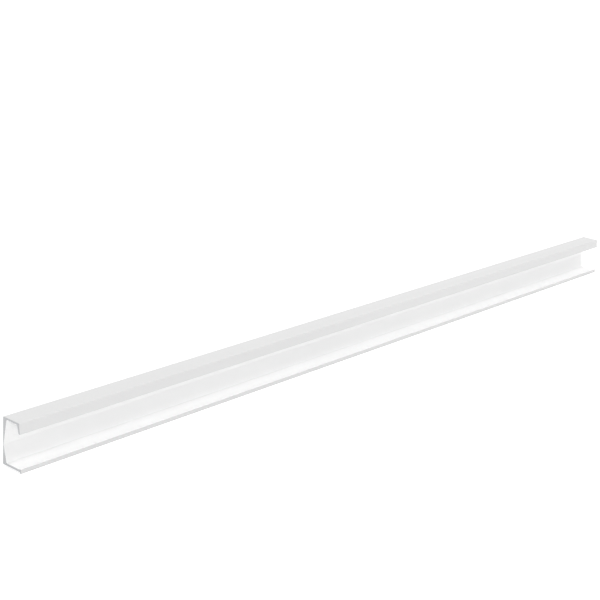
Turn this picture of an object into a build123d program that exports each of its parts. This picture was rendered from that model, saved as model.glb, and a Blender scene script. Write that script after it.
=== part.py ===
from build123d import *
import os

# Furniture handle profile: one straight length of extruded aluminium of C
# section. A flat back carries a top flange with a short down-turned lip and a
# longer bottom flange that ends in a low nose, which hooks over the front edge
# of what the flange rests on. The web between the flanges is thinned from
# inside to a shallow crease. All sizes are in millimetres. X runs along the
# length, the open side faces -Y and the lowest edge, the nose, is at Z = 0.

# Overall
LENGTH = 1000.0            # square-sawn length of the profile
WEB_HEIGHT = 44.0          # flat back, from the bottom flange's underside up
BASE_DEPTH = 24.1          # back face to the front face of the nose
TOP_DEPTH = 21.4           # back face to the outer corner of the top flange

# Web: thick at both flanges, thinned to a crease between them
WEB_TOP = 4.6              # web thickness just under the top flange
WEB_CREASE = 0.8           # web thickness at the crease
WEB_FOOT = 4.6             # web thickness just above the bottom flange
CREASE_RISE = 18.7         # crease above the bottom flange's underside

# Flanges
TOP_WALL = 1.8             # thickness of the top flange
BOTTOM_WALL = 2.1          # thickness of the bottom flange

# Down-turned lip of the top flange
LIP_DROP = 10.1            # from the top face down to the lip's lower edge
LIP_LEAN = 1.1             # how far the lower edge stands out past the top corner
LIP_WALL_ROOT = 2.8        # thickness of the lip at the flange
LIP_WALL_EDGE = 1.8        # thickness of the lip at its lower edge

# Nose of the bottom flange
NOSE_DROP = 1.5            # how far the nose hangs below the flange's underside
NOSE_WALL = 1.0            # thickness of the hanging nose
NOSE_RISE = 0.7            # how far the flange rises to the nose's upper corner
NOSE_RAMP = 2.5            # depth over which it rises

# Edge radii of the extrusion
R_BACK = 0.5               # two back corners
R_TOP_FRONT = 0.8          # outer corner between top flange and lip
R_LIP_EDGE = 0.5           # lower edges of the lip
R_LIP_ROOT = 1.8           # inside corner between top flange and lip
R_INNER = 0.8              # inside corners between web and flanges
R_CREASE = 2.0             # bottom of the crease
R_NOSE = 0.4               # corners of the nose

os.makedirs("parts", exist_ok=True)

BACK_Y = BASE_DEPTH / 2.0  # the origin is centred in depth


def at(depth, rise):
    """Section point: depth from the back face, rise above the flange's underside."""
    return (BACK_Y - depth, NOSE_DROP + rise)


CEILING = WEB_HEIGHT - TOP_WALL
CORNERS = [
    (at(0.0, 0.0), R_BACK),
    (at(0.0, WEB_HEIGHT), R_BACK),
    (at(TOP_DEPTH, WEB_HEIGHT), R_TOP_FRONT),
    (at(TOP_DEPTH + LIP_LEAN, WEB_HEIGHT - LIP_DROP), R_LIP_EDGE),
    (at(TOP_DEPTH + LIP_LEAN - LIP_WALL_EDGE, WEB_HEIGHT - LIP_DROP), R_LIP_EDGE),
    (at(TOP_DEPTH - LIP_WALL_ROOT, CEILING), R_LIP_ROOT),
    (at(WEB_TOP, CEILING), R_INNER),
    (at(WEB_CREASE, CREASE_RISE), R_CREASE),
    (at(WEB_FOOT, BOTTOM_WALL), R_INNER),
    (at(BASE_DEPTH - NOSE_RAMP, BOTTOM_WALL), R_INNER),
    (at(BASE_DEPTH, BOTTOM_WALL + NOSE_RISE), R_NOSE),
    (at(BASE_DEPTH, -NOSE_DROP), R_NOSE),
    (at(BASE_DEPTH - NOSE_WALL, -NOSE_DROP), R_NOSE),
    (at(BASE_DEPTH - NOSE_WALL, 0.0), R_NOSE),
]

section = make_face(Polyline(*[corner for corner, _ in CORNERS], close=True))
for corner, radius in CORNERS:
    sharp = section.vertices().sort_by_distance(Vector(*corner))[0]
    section = fillet(sharp, radius)

handle_profile = extrude(Plane.YZ.offset(-LENGTH / 2.0) * section, amount=LENGTH)
handle_profile.label = "handle_profile"
export_step(handle_profile, "parts/handle_profile.step")
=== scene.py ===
"""White-coated aluminium furniture handle profile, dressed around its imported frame.

The real object is one straight length of extruded C section: a flat back, a
down-turned lip on the top flange and a longer bottom flange with a hanging nose.
It is coated white and then sawn to length, so both end faces show bare metal.
Lengths with the ending _MM or _mm are millimetres; the scene itself is in metres.
"""
import logging
import math
from dataclasses import dataclass, field
from enum import Enum

import bpy
import numpy as np
from mathutils import Matrix, Vector


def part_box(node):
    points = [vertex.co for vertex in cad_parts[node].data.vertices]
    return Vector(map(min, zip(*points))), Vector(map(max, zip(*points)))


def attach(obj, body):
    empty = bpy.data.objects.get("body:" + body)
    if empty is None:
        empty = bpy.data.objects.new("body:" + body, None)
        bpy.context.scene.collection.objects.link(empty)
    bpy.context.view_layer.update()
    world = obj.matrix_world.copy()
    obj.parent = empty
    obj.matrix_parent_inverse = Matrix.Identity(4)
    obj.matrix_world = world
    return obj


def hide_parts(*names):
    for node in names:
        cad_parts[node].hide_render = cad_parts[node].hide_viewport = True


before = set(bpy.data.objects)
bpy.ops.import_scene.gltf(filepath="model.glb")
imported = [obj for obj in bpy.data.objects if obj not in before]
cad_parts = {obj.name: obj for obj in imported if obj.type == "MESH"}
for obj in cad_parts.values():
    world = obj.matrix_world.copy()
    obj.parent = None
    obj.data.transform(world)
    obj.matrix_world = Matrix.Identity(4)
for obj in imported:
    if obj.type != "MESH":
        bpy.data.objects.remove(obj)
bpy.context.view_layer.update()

LOG = logging.getLogger("handle_profile")
MM = 0.001                          # metres in one millimetre
EDGE_BREAK_MM = 0.15                # how far the sawn edges are broken by deburring
NOSE_ROOT_KNOT = 1                  # where the outline's numbered corners leave the nose
MIX_LEVEL_A, MIX_LEVEL_B, MIX_LEVEL_OUT = "2", "3", 0       # sockets of a number mix
MIX_COLOUR_A, MIX_COLOUR_B, MIX_COLOUR_OUT = "6", "7", 2    # sockets of a colour mix


class End(Enum):
    """The two sawn ends of the length, by the side of the frame that they face."""

    NEAR = -1
    FAR = 1


def linear_from_srgb(code: str) -> tuple[float, float, float, float]:
    """Turns an sRGB hex colour into linear red, green, blue and alpha.

    Args:
        code: six hex digits, with or without a leading hash sign.

    Returns:
        The linear colour; each channel is c / 12.92 up to 0.04045 and
        ((c + 0.055) / 1.055) to the power 2.4 above it, and alpha is 1.
    """
    digits = code.lstrip("#")
    values = np.array([int(digits[i:i + 2], 16) for i in (0, 2, 4)]) / 255.0
    linear = np.where(values <= 0.04045, values / 12.92, ((values + 0.055) / 1.055) ** 2.4)
    return (float(linear[0]), float(linear[1]), float(linear[2]), 1.0)


def add_node(tree: bpy.types.NodeTree, kind: str, settings: dict[str, object] | None = None,
             inputs: dict[str, object] | None = None) -> bpy.types.Node:
    """Adds one node with its settings, values and links.

    Args:
        tree: the node tree that gets the node.
        kind: the node's Blender type name.
        settings: node attributes by name, such as operation.
        inputs: socket values by name, or by number where a name isn't unique; an
            output socket as the value is linked in.

    Returns:
        The new node.
    """
    node = tree.nodes.new(kind)
    for name, value in (settings or {}).items():
        setattr(node, name, value)
    for name, value in (inputs or {}).items():
        socket = node.inputs[int(name)] if name.isdigit() else node.inputs[name]
        if isinstance(value, bpy.types.NodeSocket):
            tree.links.new(value, socket)
        else:
            socket.default_value = value
    return node


def new_material(name: str) -> tuple[bpy.types.Material, bpy.types.NodeTree, bpy.types.Node]:
    """Makes an empty node material.

    Args:
        name: the material's name, that of the real finish.

    Returns:
        The material, its node tree and its output node.
    """
    material = bpy.data.materials.new(name)
    material.use_nodes = True
    tree = material.node_tree
    tree.nodes.clear()
    return material, tree, tree.nodes.new("ShaderNodeOutputMaterial")


@dataclass(frozen=True)
class SatinWhiteCoat:
    """Satin white powder coat, sprayed on and baked on the extrusion.

    It gives the eye a clean white with a soft sheen, a faint orange-peel texture
    from the melted powder, and still fainter draw lines of the die below it. Both
    are drawn several times as deep as they are, so that they show. The real coat is one
    white, but it is written in two shades: a greyer one on the outer faces as painted
    shade, and a lighter one inside the grip channel as painted light, which lifts the
    shade that the channel casts on itself.
    """

    name: str
    colour: str
    roughness: float = 0.34
    ior: float = 1.5                # cured polyester
    peel_mm: float = 2.2            # width of one dimple of the orange peel
    peel_depth_mm: float = 0.060
    die_line_mm: float = 1.1        # spacing of the die's draw lines
    die_line_stretch: float = 250.0     # how many times longer than their spacing they are
    die_line_depth_mm: float = 0.020
    clouds_per_m: float = 14.0      # how often the white varies along the piece
    shade_spread: float = 0.012     # how far it varies to either side

    def build(self) -> bpy.types.Material:
        """Builds the material.

        Returns:
            A principled shader whose bump adds isotropic noise of dimple size to
            noise that is stretched along the length for the draw lines.
        """
        material, tree, output = new_material(self.name)
        place = add_node(tree, "ShaderNodeTexCoord").outputs["Object"]
        peel = add_node(tree, "ShaderNodeTexNoise", {"noise_dimensions": "3D"},
                        {"Vector": place, "Scale": 1.0 / (self.peel_mm * MM), "Detail": 1.0})
        along = add_node(tree, "ShaderNodeMapping", {"vector_type": "POINT"},
                         {"Vector": place, "Scale": (1.0 / self.die_line_stretch, 1.0, 1.0)})
        lines = add_node(tree, "ShaderNodeTexNoise", {"noise_dimensions": "3D"},
                         {"Vector": along.outputs["Vector"],
                          "Scale": 1.0 / (self.die_line_mm * MM), "Detail": 2.0})
        drawn = add_node(tree, "ShaderNodeBump", None,
                         {"Strength": 1.0, "Distance": self.die_line_depth_mm * MM,
                          "Height": lines.outputs["Fac"]})
        surface = add_node(tree, "ShaderNodeBump", None,
                           {"Strength": 1.0, "Distance": self.peel_depth_mm * MM,
                            "Height": peel.outputs["Fac"], "Normal": drawn.outputs["Normal"]})
        cloud = add_node(tree, "ShaderNodeTexNoise", {"noise_dimensions": "3D"},
                         {"Vector": place, "Scale": self.clouds_per_m, "Detail": 2.0})
        white = linear_from_srgb(self.colour)
        low = tuple(c * (1.0 - self.shade_spread) for c in white[:3]) + (1.0,)
        high = tuple(min(c * (1.0 + self.shade_spread), 1.0) for c in white[:3]) + (1.0,)
        tint = add_node(tree, "ShaderNodeMix", {"data_type": "RGBA"},
                        {"0": cloud.outputs["Fac"], MIX_COLOUR_A: low, MIX_COLOUR_B: high})
        shader = add_node(tree, "ShaderNodeBsdfPrincipled", None,
                          {"Base Color": tint.outputs[MIX_COLOUR_OUT], "Roughness": self.roughness,
                           "IOR": self.ior, "Normal": surface.outputs["Normal"]})
        tree.links.new(shader.outputs["BSDF"], output.inputs["Surface"])
        return material


@dataclass(frozen=True)
class SawnAluminium:
    """Bare aluminium as a circular saw leaves it.

    It gives the eye a dull grey face with shallow arcs swept by the blade. The
    blade's arcs are drawn at about twice their real spacing, so that they show. On
    a deburred edge the arcs are filed off and only the grit is left.
    """

    name: str
    arc_share: float                # 1 where the blade's arcs show, 0 where they are gone
    colour: str = "#BABBBD"
    roughness: float = 0.48
    arc_mm: float = 0.9             # spacing of the arcs
    arc_depth_mm: float = 0.012     # height of the arcs and of the grit
    grit_mm: float = 0.4
    blade_mm: float = 150.0         # radius of the saw blade
    blade_below_mm: float = 120.0   # the blade's centre lies this far below the base

    def build(self) -> bpy.types.Material:
        """Builds the material.

        Returns:
            A metallic shader with a bump of rings round the blade's centre, where
            the ring height is a sine of the distance from that centre, plus grit.
        """
        material, tree, output = new_material(self.name)
        place = add_node(tree, "ShaderNodeTexCoord").outputs["Object"]
        offset = math.sqrt(self.blade_mm ** 2 - self.blade_below_mm ** 2)
        centred = add_node(tree, "ShaderNodeMapping", {"vector_type": "POINT"},
                           {"Vector": place,
                            "Location": (0.0, offset * MM, self.blade_below_mm * MM),
                            "Scale": (0.0, 1.0, 1.0)})
        reach = add_node(tree, "ShaderNodeVectorMath", {"operation": "LENGTH"},
                         {"0": centred.outputs["Vector"]})
        turns = add_node(tree, "ShaderNodeMath", {"operation": "MULTIPLY"},
                         {"0": reach.outputs["Value"], "1": 2.0 * math.pi / (self.arc_mm * MM)})
        ridge = add_node(tree, "ShaderNodeMath", {"operation": "SINE"},
                         {"0": turns.outputs["Value"]})
        grit = add_node(tree, "ShaderNodeTexNoise", {"noise_dimensions": "3D"},
                        {"Vector": place, "Scale": 1.0 / (self.grit_mm * MM), "Detail": 2.0})
        height = add_node(tree, "ShaderNodeMath", {"operation": "MULTIPLY_ADD"},
                          {"0": ridge.outputs["Value"], "1": self.arc_share,
                           "2": grit.outputs["Fac"]})
        surface = add_node(tree, "ShaderNodeBump", None,
                           {"Strength": 1.0, "Distance": self.arc_depth_mm * MM,
                            "Height": height.outputs["Value"]})
        shader = add_node(tree, "ShaderNodeBsdfPrincipled", None,
                          {"Base Color": linear_from_srgb(self.colour), "Metallic": 1.0,
                           "Roughness": self.roughness, "Normal": surface.outputs["Normal"]})
        tree.links.new(shader.outputs["BSDF"], output.inputs["Surface"])
        return material


def seen_directly(tree: bpy.types.NodeTree) -> bpy.types.NodeSocket:
    """Adds nodes that tell what the camera sees, itself or in a reflection.

    Args:
        tree: the node tree that gets the nodes.

    Returns:
        A socket that is 1 on camera, glossy and transmission rays and 0 on others.
    """
    path = add_node(tree, "ShaderNodeLightPath")
    mirrored = add_node(tree, "ShaderNodeMath", {"operation": "MAXIMUM"},
                        {"0": path.outputs["Is Glossy Ray"],
                         "1": path.outputs["Is Transmission Ray"]})
    seen = add_node(tree, "ShaderNodeMath", {"operation": "MAXIMUM"},
                    {"0": path.outputs["Is Camera Ray"], "1": mirrored.outputs["Value"]})
    return seen.outputs["Value"]


@dataclass(frozen=True)
class PaleFloor:
    """Seamless white paper under the object, without a horizon.

    As light on the object it is plain paper. What the camera sees of it, itself or
    mirrored, is a weaker diffuse share over an even glow, so that the lit paper is
    pure white and a shadow stays, pale.
    """

    colour: str = "#E8E8E8"
    glow: float = 0.85
    seen_share: float = 0.30        # diffuse part of the paper as the camera sees it

    def build(self) -> bpy.types.Material:
        """Builds the material.

        Returns:
            A diffuse shader, replaced where the camera sees it by glow plus a share.
        """
        material, tree, output = new_material("seamless_white_paper")
        lit = add_node(tree, "ShaderNodeBsdfDiffuse", None,
                       {"Color": linear_from_srgb(self.colour)})
        share = add_node(tree, "ShaderNodeBsdfDiffuse", None,
                         {"Color": (self.seen_share, self.seen_share, self.seen_share, 1.0)})
        glow = add_node(tree, "ShaderNodeEmission", None,
                        {"Color": (1.0, 1.0, 1.0, 1.0), "Strength": self.glow})
        seen = add_node(tree, "ShaderNodeAddShader", None,
                        {"0": share.outputs["BSDF"], "1": glow.outputs["Emission"]})
        mix = add_node(tree, "ShaderNodeMixShader", None,
                       {"0": seen_directly(tree), "1": lit.outputs["BSDF"],
                        "2": seen.outputs["Shader"]})
        tree.links.new(mix.outputs["Shader"], output.inputs["Surface"])
        return material


@dataclass(frozen=True)
class Corner:
    """A rounded corner of the section: depth from the back, height and radius, in mm."""

    depth: float
    height: float
    radius: float


@dataclass(frozen=True)
class Chain:
    """An open run of the section's outline: points, outward normals and lengths."""

    points: np.ndarray
    normals: np.ndarray
    knots: np.ndarray

    def at(self, place: np.ndarray) -> tuple[np.ndarray, np.ndarray]:
        """Reads the run at places counted in knots.

        Args:
            place: increasing values from 0 to the last knot's number.

        Returns:
            Points and unit normals, each with one row per place.
        """
        points = np.stack([np.interp(place, self.knots, c) for c in self.points.T], axis=1)
        normals = np.stack([np.interp(place, self.knots, c) for c in self.normals.T], axis=1)
        return points, normals / np.linalg.norm(normals, axis=1, keepdims=True)


def rounded_run(before: Corner, corners: list[Corner], after: Corner, knots: list[int],
                steps: int = 9) -> Chain:
    """Rounds the corners of an open run, with the outline's outside on its left.

    Each corner becomes an arc that touches both of its sides: it starts radius /
    tan(half the inside angle) before the corner, and its points are that arc's
    centre plus the radius times a normal that turns evenly from side to side.

    Args:
        before: the corner ahead of the run, for the direction of its first side.
        corners: the corners of the run, in order.
        after: the corner past the run, for the direction of its last side.
        knots: for each corner the whole number that its middle stands for, or -1.
        steps: points on each arc.

    Returns:
        The run, with each point's place between the numbered corners.
    """
    path = np.array([(c.depth, c.height) for c in [before, *corners, after]])
    radii = np.array([c.radius for c in corners])[:, None]
    sides = np.diff(path, axis=0)
    sides /= np.linalg.norm(sides, axis=1, keepdims=True)
    first, last = sides[:-1], sides[1:]
    turn = np.arctan2(first[:, 0] * last[:, 1] - first[:, 1] * last[:, 0],
                      (first * last).sum(axis=1))[:, None]
    start = path[1:-1] - first * radii * np.tan(np.abs(turn) / 2.0)
    left = np.stack([-first[:, 1], first[:, 0]], axis=1)
    centre = start + left * radii * np.sign(turn)
    sweep = np.linspace(0.0, 1.0, steps)[None, :] * turn
    cos, sin = np.cos(sweep)[..., None], np.sin(sweep)[..., None]
    swung = left[:, None, :] * cos + np.stack([-left[:, 1], left[:, 0]], axis=1)[:, None, :] * sin
    points = centre[:, None, :] - swung * (radii * np.sign(turn))[:, None, :]
    points, normals = points.reshape(-1, 2), swung.reshape(-1, 2)
    length = np.concatenate([[0.0], np.cumsum(np.linalg.norm(np.diff(points, axis=0), axis=1))])
    middle = length.reshape(len(corners), steps)[:, steps // 2]
    numbered = [i for i, knot in enumerate(knots) if knot >= 0]
    marks = middle[numbered]
    marks[0], marks[-1] = 0.0, length[-1]
    return Chain(points, normals, np.interp(length, marks, [knots[i] for i in numbered]))


@dataclass
class Section:
    """The C section, in mm: depth runs from the flat back to the open front."""

    height: float                   # from the nose's lower edge to the top face
    base_depth: float
    top_depth: float = 21.4
    web_top: float = 4.6            # web thickness under the top flange
    web_crease: float = 0.8         # web thickness at the crease of its inner face
    web_foot: float = 4.6           # web thickness above the bottom flange
    crease_rise: float = 18.7       # crease above the bottom flange's underside
    top_wall: float = 1.8
    bottom_wall: float = 2.1
    lip_drop: float = 10.1
    lip_lean: float = 1.1
    lip_wall_root: float = 2.8
    lip_wall_edge: float = 1.8
    nose_drop: float = 1.5
    nose_wall: float = 1.0
    nose_rise: float = 0.7
    nose_ramp: float = 2.5
    back_radius: float = 0.5
    top_front_radius: float = 0.8
    lip_edge_radius: float = 0.5
    lip_root_radius: float = 1.8
    inner_radius: float = 0.8
    crease_radius: float = 2.0
    nose_radius: float = 0.4
    outer: np.ndarray = field(init=False)
    inner: np.ndarray = field(init=False)
    outer_normals: np.ndarray = field(init=False)
    inner_normals: np.ndarray = field(init=False)
    # in_channel marks the faces inside the grip channel, which take the lighter coat as painted
    # light
    in_channel: np.ndarray = field(init=False)      # per rim point, up to the next one

    def __post_init__(self) -> None:
        """Works out both runs of the outline, point for point across the wall.

        The outer run goes from the nose's lower edge along the underside, up the
        back and over the top to the lip's lower edge. The inner run goes the same
        way on the other side of the wall.
        """
        under = self.nose_drop
        ceiling = self.height - self.top_wall
        nose_back = self.base_depth - self.nose_wall
        lip_foot = self.height - self.lip_drop
        lip_depth = self.top_depth + self.lip_lean
        nose_toe = Corner(self.base_depth, 0.0, self.nose_radius)
        nose_heel = Corner(nose_back, 0.0, self.nose_radius)
        lip_out = Corner(lip_depth, lip_foot, self.lip_edge_radius)
        lip_in = Corner(lip_depth - self.lip_wall_edge, lip_foot, self.lip_edge_radius)
        outside = rounded_run(
            nose_toe,
            [nose_heel,
             Corner(nose_back, under, self.nose_radius),
             Corner(0.0, under, self.back_radius),
             Corner(0.0, self.height, self.back_radius),
             Corner(self.top_depth, self.height, self.top_front_radius),
             lip_out],
            lip_in, [0, 1, 2, 3, 4, 5])
        inside = rounded_run(
            nose_heel,
            [nose_toe,
             Corner(self.base_depth, under + self.bottom_wall + self.nose_rise,
                    self.nose_radius),
             Corner(self.base_depth - self.nose_ramp, under + self.bottom_wall,
                    self.inner_radius),
             Corner(self.web_foot, under + self.bottom_wall, self.inner_radius),
             Corner(self.web_crease, under + self.crease_rise, self.crease_radius),
             Corner(self.web_top, ceiling, self.inner_radius),
             Corner(self.top_depth - self.lip_wall_root, ceiling, self.lip_root_radius),
             lip_in],
            lip_out, [0, 1, -1, 2, -1, 3, 4, 5])
        places = np.unique(np.round(np.concatenate([outside.knots, inside.knots]), 5))
        self.outer, self.outer_normals = outside.at(places)
        self.inner, inward = inside.at(places)
        self.inner_normals = -inward
        past_nose = places[::-1] > NOSE_ROOT_KNOT
        self.in_channel = np.concatenate([np.zeros(len(places), bool), past_nose])

    def rim(self) -> tuple[np.ndarray, np.ndarray]:
        """Joins both runs into the closed outline, with outward normals, in order."""
        return (np.concatenate([self.outer, self.inner[::-1]]),
                np.concatenate([self.outer_normals, self.inner_normals[::-1]]))


def place_in_frame(depth_height: np.ndarray, x_mm: np.ndarray, back_m: float) -> np.ndarray:
    """Turns section points at stations along the length into points of the frame.

    Args:
        depth_height: section points, in mm, one row each.
        x_mm: stations along the length, in mm.
        back_m: the frame's Y of the flat back, in metres.

    Returns:
        Points in metres, one row each, station by station: X is the station, Y the
        back less the depth and Z the height.
    """
    count, stations = len(depth_height), len(x_mm)
    points = np.empty((stations, count, 3))
    points[..., 0] = x_mm[:, None] * MM
    points[..., 1] = back_m - depth_height[None, :, 0] * MM
    points[..., 2] = depth_height[None, :, 1] * MM
    return points.reshape(-1, 3)


def put_in_scene(name: str, points: np.ndarray, faces: np.ndarray,
                 finishes: list[bpy.types.Material]) -> bpy.types.Object:
    """Makes a piece of the object from computed points and four-cornered faces.

    Args:
        name: the piece's name.
        points: vertices in metres, one row each.
        faces: four vertex numbers per row.
        finishes: the piece's materials; its faces take the first one.

    Returns:
        The piece, riding on the body and standing for the solid.
    """
    mesh = bpy.data.meshes.new(name)
    mesh.from_pydata(points, [], faces.tolist())
    for finish in finishes:
        mesh.materials.append(finish)
    mesh.update()
    piece = bpy.data.objects.new(name, mesh)
    bpy.context.scene.collection.objects.link(piece)
    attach(piece, "root")
    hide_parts("handle_profile")
    LOG.info("%s: %d points, %d faces", name, len(points), len(faces))
    return piece


@dataclass
class CoatedProfile:
    """The coated skin of the length, open at both ends where the saw cut it."""

    section: Section
    low_mm: float
    high_mm: float
    back_m: float
    edge_break_mm: float = EDGE_BREAK_MM
    station_mm: float = 20.0        # spacing of the points along the length

    def stations(self) -> np.ndarray:
        """Returns the stations along the length, even and inside the broken edges."""
        first, last = self.low_mm + self.edge_break_mm, self.high_mm - self.edge_break_mm
        return np.linspace(first, last, int(round((last - first) / self.station_mm)) + 1)

    def build(self, outer_coat_painted_shade: bpy.types.Material,
              channel_coat_painted_light: bpy.types.Material) -> bpy.types.Object:
        """Carries the closed outline straight along X.

        The surface is the outline's point j at station i; each face joins points j
        and j + 1 at stations i and i + 1, and the normals are the outline's own.

        Args:
            outer_coat_painted_shade: the coat on back, top, lip, nose and underside; its greyer
                shade is painted shade.
            channel_coat_painted_light: the coat inside the grip channel; its lighter shade is
                painted light.

        Returns:
            The finished piece.
        """
        rim, normals = self.section.rim()
        along = self.stations()
        points = place_in_frame(rim, along, self.back_m)
        count = len(rim)
        i, j = np.meshgrid(np.arange(len(along) - 1), np.arange(count), indexing="ij")
        after = (j + 1) % count
        faces = np.stack([i * count + j, i * count + after,
                          (i + 1) * count + after, (i + 1) * count + j], axis=-1).reshape(-1, 4)
        piece = put_in_scene("coated_profile", points, faces, [outer_coat_painted_shade, channel_coat_painted_light])
        # Faces inside the channel take the lighter coat, painted light; the rest take the greyer
        # coat, painted shade.
        inside = np.tile(self.section.in_channel, len(along) - 1).astype(np.int32)
        piece.data.polygons.foreach_set("material_index", inside)
        turned = np.zeros((count, 3))
        turned[:, 1] = -normals[:, 0]
        turned[:, 2] = normals[:, 1]
        piece.data.shade_smooth()
        piece.data.normals_split_custom_set_from_vertices(np.tile(turned, (len(along), 1)))
        return piece


@dataclass
class SawnEnd:
    """One sawn end face with its broken edge."""

    section: Section
    side: End
    x_mm: float
    back_m: float
    edge_break_mm: float = EDGE_BREAK_MM

    def build(self, finish: bpy.types.Material,
              edge_finish: bpy.types.Material) -> bpy.types.Object:
        """Spans the wall with a strip and joins it to the coat by a narrow bevel.

        The strip's two edges are the outer and the inner run of the outline, drawn
        in by the edge break along their normals; the bevel runs from there back to
        the full outline, one edge break behind the face.

        Args:
            finish: the bare metal's material on the sawn face.
            edge_finish: the bare metal's material on the bevel.

        Returns:
            The finished piece.
        """
        rim, normals = self.section.rim()
        count, half = len(rim), len(self.section.outer)
        drawn_in = rim - normals * self.edge_break_mm
        behind = np.array([self.x_mm - self.side.value * self.edge_break_mm])
        points = np.concatenate([place_in_frame(rim, behind, self.back_m),
                                 place_in_frame(drawn_in, np.array([self.x_mm]), self.back_m)])
        j = np.arange(count)
        after = (j + 1) % count
        bevel = np.stack([j, after, count + after, count + j], axis=1)
        k = np.arange(half - 1)
        strip = count + np.stack([k, k + 1, count - 2 - k, count - 1 - k], axis=1)
        faces = np.concatenate([bevel, strip])
        if self.side is End.NEAR:
            faces = faces[:, ::-1]
        piece = put_in_scene(f"sawn_end_{self.side.name.lower()}", points, faces,
                             [finish, edge_finish])
        on_bevel = (np.arange(len(faces)) < count).astype(np.int32)
        piece.data.polygons.foreach_set("material_index", on_bevel)
        return piece


@dataclass(frozen=True)
class PhotoCamera:
    """The camera at the photograph's viewing angle; it leans a little to one side."""

    eye_mm: tuple[float, float, float] = (-1176.6, -853.7, 500.1)   # in the frame
    azimuth_deg: float = 50.86      # the view turns from +Y towards +X
    elevation_deg: float = 17.29    # the camera looks down by this much
    roll_deg: float = 3.96
    focal_px: float = 1366.1
    image_px: int = 600             # the picture's width and height
    sensor_mm: float = 36.0
    clip_m: tuple[float, float] = (0.01, 50.0)

    def build(self) -> bpy.types.Object:
        """Makes the camera from its eye point and its three angles.

        Returns:
            The scene's camera.
        """
        turn, fall, lean = (math.radians(a) for a in
                            (self.azimuth_deg, self.elevation_deg, self.roll_deg))
        forward = Vector((math.sin(turn) * math.cos(fall), math.cos(turn) * math.cos(fall),
                          -math.sin(fall)))
        level = forward.cross(Vector((0.0, 0.0, 1.0))).normalized()
        upright = level.cross(forward)
        right = level * math.cos(lean) + upright * math.sin(lean)
        up = upright * math.cos(lean) - level * math.sin(lean)
        data = bpy.data.cameras.new("photo_camera")
        data.sensor_fit = "HORIZONTAL"
        data.sensor_width = self.sensor_mm
        data.lens = self.focal_px * self.sensor_mm / self.image_px
        data.clip_start, data.clip_end = self.clip_m
        camera = bpy.data.objects.new("photo_camera", data)
        camera.matrix_world = (Matrix.Translation(Vector(self.eye_mm) * MM)
                               @ Matrix((right, up, -forward)).transposed().to_4x4())
        bpy.context.scene.collection.objects.link(camera)
        bpy.context.scene.camera = camera
        return camera


@dataclass(frozen=True)
class Softbox:
    """A large rectangular lamp that faces a point of the object."""

    name: str
    centre: tuple[float, float, float]      # metres, as all lengths here
    size: tuple[float, float]
    watts: float
    aim: tuple[float, float, float] = (0.0, 0.0, 0.02)      # the middle of the object

    def build(self) -> bpy.types.Object:
        """Makes the lamp.

        Returns:
            The area lamp, turned so that its face looks at the aim point.
        """
        data = bpy.data.lights.new(self.name, "AREA")
        data.shape = "RECTANGLE"
        data.size, data.size_y = self.size
        data.energy = self.watts
        lamp = bpy.data.objects.new(self.name, data)
        facing = Vector(self.aim) - Vector(self.centre)
        lamp.location = self.centre
        lamp.rotation_mode = "QUATERNION"
        lamp.rotation_quaternion = facing.to_track_quat("-Z", "Y")
        bpy.context.scene.collection.objects.link(lamp)
        return lamp


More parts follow.
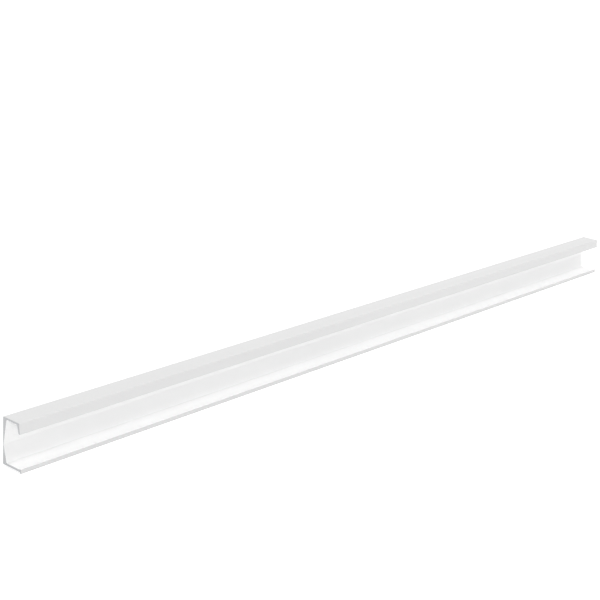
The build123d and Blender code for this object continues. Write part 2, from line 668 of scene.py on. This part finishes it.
@dataclass
class Studio:
    """Floor, white surroundings, lamps and camera."""

    camera: PhotoCamera = field(default_factory=PhotoCamera)
    floor: PaleFloor = field(default_factory=PaleFloor)
    floor_half_m: float = 14.0
    sky_level: float = 0.62         # the surroundings as light; the camera sees them at 1
    lamps: tuple[Softbox, ...] = (
        Softbox("low_front_softbox", (-3.38, -7.25, 0.56), (3.8, 3.8), 212.0),
        Softbox("high_front_softbox", (0.45, -2.33, 4.40), (2.4, 1.2), 119.0),
        Softbox("rear_softbox", (0.00, 3.54, 3.54), (2.4, 2.4), 74.0),
    )

    def build_floor(self) -> bpy.types.Object:
        """Makes the level floor as one large square at Z = 0.

        Returns:
            The floor.
        """
        r = self.floor_half_m
        mesh = bpy.data.meshes.new("paper_floor")
        mesh.from_pydata([(-r, -r, 0.0), (r, -r, 0.0), (r, r, 0.0), (-r, r, 0.0)], [],
                         [(0, 1, 2, 3)])
        mesh.materials.append(self.floor.build())
        floor = bpy.data.objects.new("paper_floor", mesh)
        bpy.context.scene.collection.objects.link(floor)
        return floor

    def build_sky(self) -> bpy.types.World:
        """Makes the surroundings: plain white to the eye, a soft grey as light.

        Returns:
            The scene's world.
        """
        world = bpy.data.worlds.new("studio")
        world.use_nodes = True
        tree = world.node_tree
        tree.nodes.clear()
        level = add_node(tree, "ShaderNodeMix", {"data_type": "FLOAT"},
                         {"0": seen_directly(tree), MIX_LEVEL_A: self.sky_level,
                          MIX_LEVEL_B: 1.0})
        glow = add_node(tree, "ShaderNodeBackground", None,
                        {"Color": (1.0, 1.0, 1.0, 1.0),
                         "Strength": level.outputs[MIX_LEVEL_OUT]})
        output = add_node(tree, "ShaderNodeOutputWorld")
        tree.links.new(glow.outputs["Background"], output.inputs["Surface"])
        bpy.context.scene.world = world
        return world

    def build(self) -> None:
        """Puts up the whole studio."""
        self.camera.build()
        self.build_floor()
        self.build_sky()
        for lamp in self.lamps:
            lamp.build()
        bpy.context.scene.view_settings.view_transform = "Standard"
        LOG.info("studio: %d lamps", len(self.lamps))


def main() -> None:
    """Builds the handle profile and its studio, piece by piece."""
    logging.basicConfig(level=logging.INFO, format="%(name)s: %(message)s")
    low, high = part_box("handle_profile")
    section = Section(height=(high.z - low.z) / MM, base_depth=(high.y - low.y) / MM)
    # One real white coat in two shades: the greyer outside is painted shade, and the lighter
    # channel is painted light that lifts the channel's own shade.
    outer_coat_painted_shade = SatinWhiteCoat("satin_white_coat_outside_painted_shade", "#CECECE").build()
    channel_coat_painted_light = SatinWhiteCoat("satin_white_coat_channel_painted_light", "#F4F4F4").build()
    sawn = SawnAluminium("sawn_aluminium", 1.0).build()
    deburred = SawnAluminium("deburred_aluminium", 0.0).build()
    CoatedProfile(section, low.x / MM, high.x / MM, high.y).build(outer_coat_painted_shade, channel_coat_painted_light)
    for side, x in ((End.NEAR, low.x), (End.FAR, high.x)):
        SawnEnd(section, side, x / MM, high.y).build(sawn, deburred)
    Studio().build()


if __name__ == "__main__":
    main()
